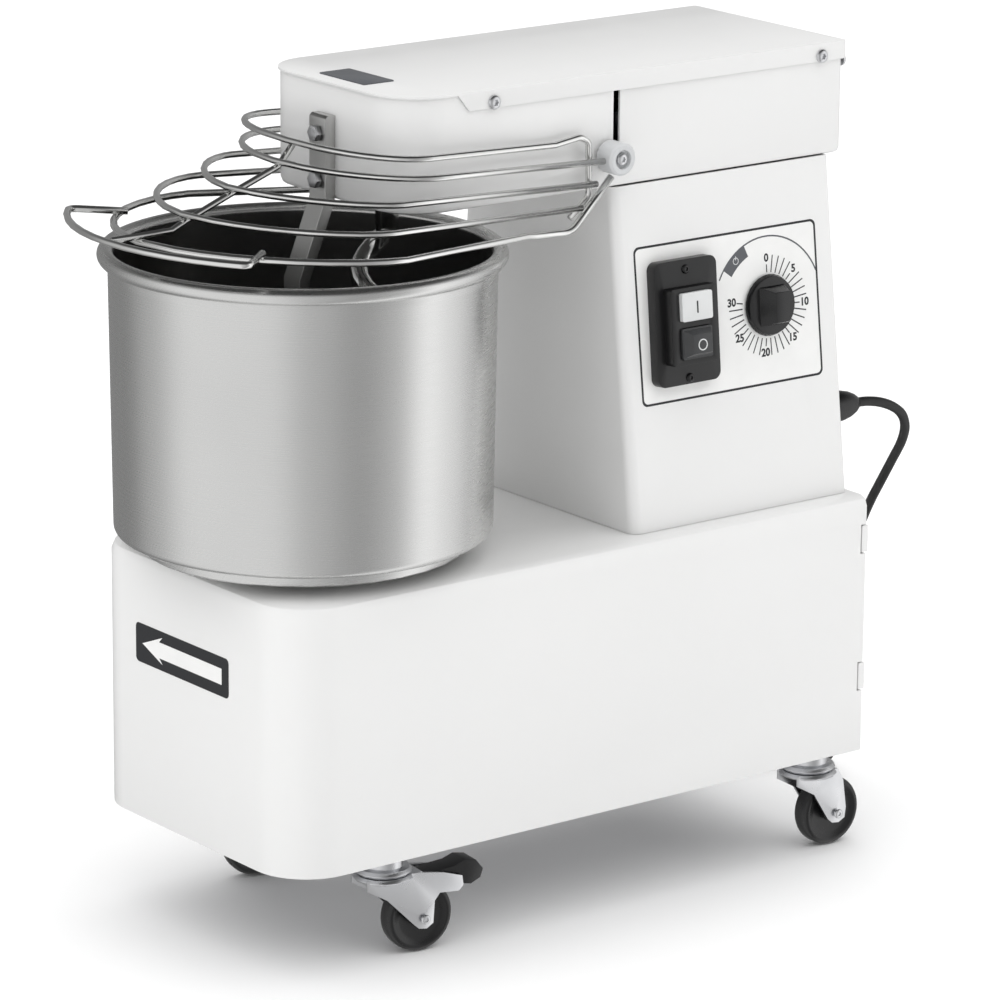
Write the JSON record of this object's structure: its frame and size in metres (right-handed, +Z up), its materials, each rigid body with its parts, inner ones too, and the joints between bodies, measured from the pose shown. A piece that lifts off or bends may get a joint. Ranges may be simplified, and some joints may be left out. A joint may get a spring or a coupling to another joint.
{
  "type": "spiral dough mixer",
  "caption": "free-standing spiral dough mixer: column and head over a turning bowl with spiral hook, breaker bar and hinged wire guard, side controls, swivel casters",
  "frame": {"origin": "on the floor under the middle of the machine's footprint, without the power cord", "axes": "+Z up, -Y towards the bowl and the guard's handle at the front, +X towards the side with the switch and the timer"},
  "size_m": [0.354, 0.6859, 0.5793],
  "materials": {
    "painted_body": "satin",
    "zinc_plate": "matte",
    "stainless": "brushed",
    "bright_steel": "polished",
    "chrome_wire": "polished",
    "bush_plastic": "matte",
    "drive_steel": "matte",
    "motor_grey": "satin",
    "black_plastic": "matte",
    "grey_plastic": "matte",
    "cord_rubber": "matte",
    "wheel_black": "matte",
    "zinc_steel": "satin"
  },
  "bodies": {
    "frame": {"base_floor_plate": "zinc_plate", "base_housing": "painted_body", "bowl_bearing": "drive_steel", "breaker_bar": "stainless", "breaker_bolt_lower": "bright_steel", "breaker_bolt_upper": "bright_steel", "cable_gland": "black_plastic", "caster_stem_front_left": "zinc_steel", "caster_stem_front_right": "zinc_steel", "caster_stem_rear_left": "zinc_steel", "caster_stem_rear_right": "zinc_steel", "column_housing": "painted_body", "cord_coil": "cord_rubber", "gearbox": "zinc_plate", "guard_switch": "black_plastic", "head_cover": "painted_body", "head_housing": "painted_body", "lower_chain": "drive_steel", "motor": "motor_grey", "power_cord": "cord_rubber", "power_plug": "black_plastic", "rear_panel": "painted_body", "rear_panel_screw_left": "bright_steel", "rear_panel_screw_right": "bright_steel", "spiral_bearing": "drive_steel", "switch_housing": "black_plastic", "timer_body": "black_plastic", "upper_chain": "drive_steel"},
    "bowl_unit": {"bowl": "stainless", "bowl_turntable": "stainless", "bowl_sprocket": "drive_steel"},
    "drive_unit": {"main_shaft": "bright_steel", "lower_drive_sprocket": "drive_steel", "upper_drive_sprocket": "drive_steel"},
    "spiral_unit": {"spiral_hook": "stainless", "spiral_sprocket": "drive_steel"},
    "guard": {"guard_bush_left": "bush_plastic", "guard_bush_right": "bush_plastic", "guard_handle": "chrome_wire", "guard_rib": "chrome_wire", "guard_ring_frame": "chrome_wire", "guard_ring_lower": "chrome_wire", "guard_ring_middle": "chrome_wire", "guard_ring_top": "chrome_wire", "guard_ring_upper": "chrome_wire", "guard_shaft": "bright_steel"},
    "timer_knob": {"timer_knob": "black_plastic"},
    "start_button": {"start_button": "grey_plastic"},
    "stop_button": {"stop_button": "black_plastic"},
    "caster_fork_front_right": {"caster_fork_front_right": "zinc_steel"},
    "caster_wheel_front_right": {"caster_wheel_front_right": "wheel_black"},
    "brake_lever_front_right": {"brake_lever_front_right": "black_plastic"},
    "caster_fork_front_left": {"caster_fork_front_left": "zinc_steel"},
    "caster_wheel_front_left": {"caster_wheel_front_left": "wheel_black"},
    "brake_lever_front_left": {"brake_lever_front_left": "black_plastic"},
    "caster_fork_rear_right": {"caster_fork_rear_right": "zinc_steel"},
    "caster_wheel_rear_right": {"caster_wheel_rear_right": "wheel_black"},
    "caster_fork_rear_left": {"caster_fork_rear_left": "zinc_steel"},
    "caster_wheel_rear_left": {"caster_wheel_rear_left": "wheel_black"}
  },
  "joints": [
    {"name": "bowl_spin", "type": "hinge", "parent": "frame", "child": "bowl_unit", "pos_m": [0, -0.125, 0.27], "axis": [0, 0, 1], "continuous": true},
    {"name": "main_shaft_spin", "type": "hinge", "parent": "frame", "child": "drive_unit", "pos_m": [0, 0.15, 0.3], "axis": [0, 0, 1], "continuous": true},
    {"name": "spiral_spin", "type": "hinge", "parent": "frame", "child": "spiral_unit", "pos_m": [0, -0.056, 0.5], "axis": [0, 0, 1], "continuous": true},
    {"name": "guard_hinge", "type": "hinge", "parent": "frame", "child": "guard", "pos_m": [0, 0.0675, 0.523], "axis": [-1, 0, 0], "range_deg": [0, 85]},
    {"name": "timer_turn", "type": "hinge", "parent": "frame", "child": "timer_knob", "pos_m": [0.09007, 0.2047, 0.4028], "axis": [-0.9952, 0, -0.0978], "range_deg": [-45, 280]},
    {"name": "start_press", "type": "slide", "parent": "frame", "child": "start_button", "axis": [-0.9952, 0, -0.0978], "range_m": [0, 0.003], "stiffness_N_per_m": 300, "springref_m": -0.002},
    {"name": "stop_press", "type": "slide", "parent": "frame", "child": "stop_button", "axis": [-0.9952, 0, -0.0978], "range_m": [0, 0.003], "stiffness_N_per_m": 300, "springref_m": -0.002},
    {"name": "caster_swivel_front_right", "type": "hinge", "parent": "frame", "child": "caster_fork_front_right", "pos_m": [0.095, -0.1277, 0.06], "axis": [0, 0, 1], "continuous": true},
    {"name": "caster_roll_front_right", "type": "hinge", "parent": "caster_fork_front_right", "child": "caster_wheel_front_right", "pos_m": [0.09835, -0.10262, 0.025], "axis": [0.9912, -0.1323, 0], "continuous": true},
    {"name": "brake_press_front_right", "type": "hinge", "parent": "caster_fork_front_right", "child": "brake_lever_front_right", "pos_m": [0.09936, -0.09499, 0.0535], "axis": [-0.9912, 0.1323, 0], "range_deg": [0, 12]},
    {"name": "caster_swivel_front_left", "type": "hinge", "parent": "frame", "child": "caster_fork_front_left", "pos_m": [-0.095, -0.1277, 0.06], "axis": [0, 0, 1], "continuous": true},
    {"name": "caster_roll_front_left", "type": "hinge", "parent": "caster_fork_front_left", "child": "caster_wheel_front_left", "pos_m": [-0.08974, -0.10295, 0.025], "axis": [0.9781, -0.2079, 0], "continuous": true},
    {"name": "brake_press_front_left", "type": "hinge", "parent": "caster_fork_front_left", "child": "brake_lever_front_left", "pos_m": [-0.08814, -0.09542, 0.0535], "axis": [-0.9781, 0.2079, 0], "range_deg": [0, 12]},
    {"name": "caster_swivel_rear_right", "type": "hinge", "parent": "frame", "child": "caster_fork_rear_right", "pos_m": [0.095, 0.2472, 0.06], "axis": [0, 0, 1], "continuous": true},
    {"name": "caster_roll_rear_right", "type": "hinge", "parent": "caster_fork_rear_right", "child": "caster_wheel_rear_right", "pos_m": [0.09547, 0.26519, 0.025], "axis": [0.9997, -0.0262, 0], "continuous": true},
    {"name": "caster_swivel_rear_left", "type": "hinge", "parent": "frame", "child": "caster_fork_rear_left", "pos_m": [-0.095, 0.2472, 0.06], "axis": [0, 0, 1], "continuous": true},
    {"name": "caster_roll_rear_left", "type": "hinge", "parent": "caster_fork_rear_left", "child": "caster_wheel_rear_left", "pos_m": [-0.09688, 0.2651, 0.025], "axis": [0.9945, 0.1045, 0], "continuous": true}
  ],
  "couplings": [
    {"joint": "main_shaft_spin", "follows": "bowl_spin", "ratio": 4},
    {"joint": "spiral_spin", "follows": "bowl_spin", "ratio": 6}
  ]
}
